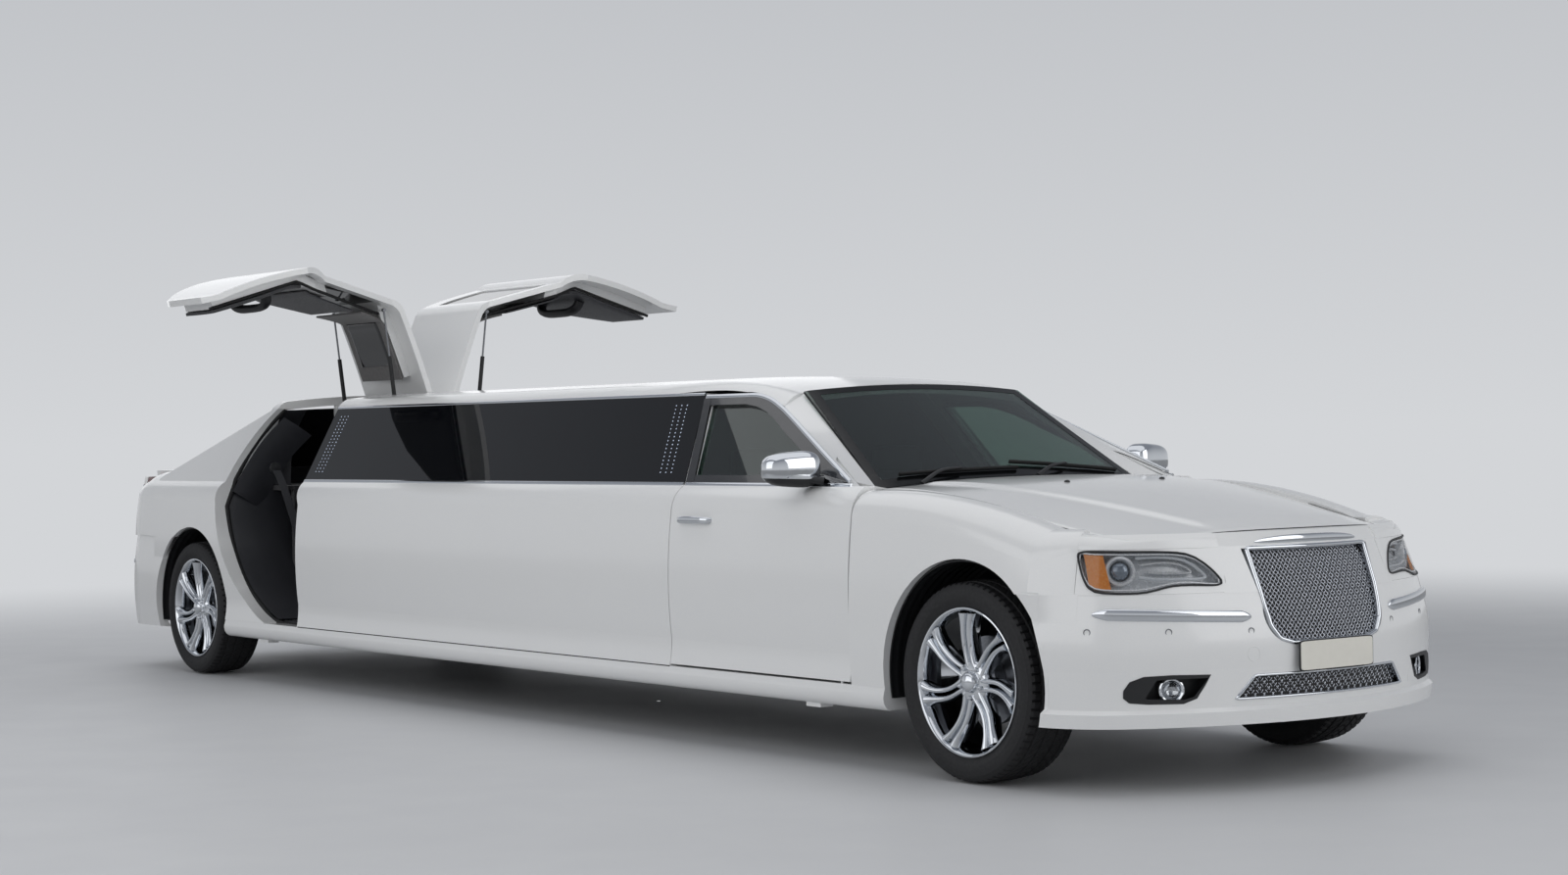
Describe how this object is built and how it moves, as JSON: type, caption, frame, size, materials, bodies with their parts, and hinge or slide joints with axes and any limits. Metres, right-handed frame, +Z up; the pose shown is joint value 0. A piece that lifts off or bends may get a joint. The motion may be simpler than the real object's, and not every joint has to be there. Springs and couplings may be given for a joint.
{
  "type": "stretch limousine",
  "caption": "White stretch limousine with roof-hinged rear passenger doors standing open, tinted long side windows, mesh grille and bright wheels",
  "frame": {"origin": "mid-length and mid-width on the ground under the tyres", "axes": "+X towards the nose, +Y to the car's left, +Z up"},
  "size_m": [8.42, 2.8962, 2.1586],
  "materials": {
    "white_paint": "gloss",
    "black_structure": "satin",
    "clear_glass": "gloss",
    "tinted_glass": "gloss",
    "lamp_lens": "gloss",
    "red_lens": "gloss",
    "bright_mesh": "polished",
    "bright_rim": "polished",
    "mirror_cap": "polished",
    "tyre_rubber": "matte",
    "black_plastic": "matte",
    "dark_leather": "satin",
    "forged_steel": "satin",
    "cast_block": "matte",
    "strut_tube": "gloss",
    "strut_rod": "polished"
  },
  "bodies": {
    "body": {"floor_pan": "black_structure", "sills": "white_paint", "front_bumper": "white_paint", "front_fenders": "white_paint", "grilles": "bright_mesh", "headlamps": "lamp_lens", "fog_lamps": "lamp_lens", "bulkhead": "black_structure", "front_rails": "black_structure", "windscreen": "clear_glass", "windscreen_pillars": "white_paint", "roof": "white_paint", "stretch_panels": "white_paint", "stretch_glass": "tinted_glass", "quarter_panels": "white_paint", "rear_window": "tinted_glass", "rear_bumper": "white_paint", "tail_lamps": "red_lens", "wheel_housings": "black_plastic", "engine_block": "cast_block", "front_crossmember": "forged_steel", "rear_axle": "forged_steel", "exhausts": "forged_steel", "dashboard": "black_plastic", "steering_wheel": "dark_leather", "front_seats": "dark_leather", "partition": "black_plastic", "rear_bench": "dark_leather", "side_bench": "dark_leather"},
    "bonnet": {"bonnet": "white_paint"},
    "boot_lid": {"boot_lid": "white_paint"},
    "front_door_right": {"front_door_right": "white_paint", "door_glass_right": "clear_glass", "door_mirror_right": "mirror_cap"},
    "gull_door_right": {"gull_door_right": "white_paint", "gull_glass_right": "tinted_glass"},
    "strut_tubes_right": {"strut_tubes_right": "strut_tube"},
    "strut_rods_right": {"strut_rods_right": "strut_rod"},
    "knuckle_right": {"knuckle_right": "forged_steel"},
    "wheel_front_right": {"rim_front_right": "bright_rim", "tyre_front_right": "tyre_rubber"},
    "wheel_rear_right": {"rim_rear_right": "bright_rim", "tyre_rear_right": "tyre_rubber"},
    "front_door_left": {"front_door_left": "white_paint", "door_glass_left": "clear_glass", "door_mirror_left": "mirror_cap"},
    "gull_door_left": {"gull_door_left": "white_paint", "gull_glass_left": "tinted_glass"},
    "strut_tubes_left": {"strut_tubes_left": "strut_tube"},
    "strut_rods_left": {"strut_rods_left": "strut_rod"},
    "knuckle_left": {"knuckle_left": "forged_steel"},
    "wheel_front_left": {"rim_front_left": "bright_rim", "tyre_front_left": "tyre_rubber"},
    "wheel_rear_left": {"rim_rear_left": "bright_rim", "tyre_rear_left": "tyre_rubber"}
  },
  "joints": [
    {"name": "gull_door_right_hinge", "type": "hinge", "parent": "body", "child": "gull_door_right", "pos_m": [-2.34, -0.076, 1.494], "axis": [-1, 0, 0], "range_deg": [-73, 0]},
    {"name": "strut_tubes_right_pivot", "type": "hinge", "parent": "body", "child": "strut_tubes_right", "pos_m": [-2.34, -0.25, 1.412], "axis": [-1, 0, 0], "range_deg": [-85.73, 0.5]},
    {"name": "strut_rods_right_slide", "type": "slide", "parent": "strut_tubes_right", "child": "strut_rods_right", "axis": [0, -0.1187, 0.9929], "range_m": [-0.21192, 0.002]},
    {"name": "front_door_right_hinge", "type": "hinge", "parent": "body", "child": "front_door_right", "pos_m": [2.604, -0.938, 0.65], "axis": [0, 0, 1], "range_deg": [0, 65]},
    {"name": "steer_right", "type": "hinge", "parent": "body", "child": "knuckle_right", "pos_m": [3.29, -0.735, 0.363], "axis": [0, 0, 1], "range_deg": [-33, 33]},
    {"name": "wheel_front_right_spin", "type": "hinge", "parent": "knuckle_right", "child": "wheel_front_right", "pos_m": [3.29, -0.806, 0.363], "axis": [0, 1, 0], "continuous": true},
    {"name": "wheel_rear_right_spin", "type": "hinge", "parent": "body", "child": "wheel_rear_right", "pos_m": [-3.14, -0.806, 0.363], "axis": [0, 1, 0], "continuous": true},
    {"name": "gull_door_left_hinge", "type": "hinge", "parent": "body", "child": "gull_door_left", "pos_m": [-2.34, 0.076, 1.494], "axis": [1, 0, 0], "range_deg": [-73, 0]},
    {"name": "strut_tubes_left_pivot", "type": "hinge", "parent": "body", "child": "strut_tubes_left", "pos_m": [-2.34, 0.25, 1.412], "axis": [1, 0, 0], "range_deg": [-85.73, 0.5]},
    {"name": "strut_rods_left_slide", "type": "slide", "parent": "strut_tubes_left", "child": "strut_rods_left", "axis": [0, 0.1187, 0.9929], "range_m": [-0.21192, 0.002]},
    {"name": "front_door_left_hinge", "type": "hinge", "parent": "body", "child": "front_door_left", "pos_m": [2.604, 0.938, 0.65], "axis": [0, 0, -1], "range_deg": [0, 65]},
    {"name": "steer_left", "type": "hinge", "parent": "body", "child": "knuckle_left", "pos_m": [3.29, 0.735, 0.363], "axis": [0, 0, 1], "range_deg": [-33, 33]},
    {"name": "wheel_front_left_spin", "type": "hinge", "parent": "knuckle_left", "child": "wheel_front_left", "pos_m": [3.29, 0.806, 0.363], "axis": [0, 1, 0], "continuous": true},
    {"name": "wheel_rear_left_spin", "type": "hinge", "parent": "body", "child": "wheel_rear_left", "pos_m": [-3.14, 0.806, 0.363], "axis": [0, 1, 0], "continuous": true},
    {"name": "bonnet_hinge", "type": "hinge", "parent": "body", "child": "bonnet", "pos_m": [2.658, 0, 1.036], "axis": [0, -1, 0], "range_deg": [0, 50]},
    {"name": "boot_lid_hinge", "type": "hinge", "parent": "body", "child": "boot_lid", "pos_m": [-3.706, 0, 1.068], "axis": [0, 1, 0], "range_deg": [0, 75]}
  ],
  "couplings": [
    {"joint": "strut_tubes_right_pivot", "follows": "gull_door_right_hinge", "ratio": 1.1676},
    {"joint": "strut_rods_right_slide", "follows": "gull_door_right_hinge", "m_per_rad": 0.16476},
    {"joint": "strut_tubes_left_pivot", "follows": "gull_door_left_hinge", "ratio": 1.1676},
    {"joint": "strut_rods_left_slide", "follows": "gull_door_left_hinge", "m_per_rad": 0.16476},
    {"joint": "steer_left", "follows": "steer_right", "ratio": 1}
  ]
}
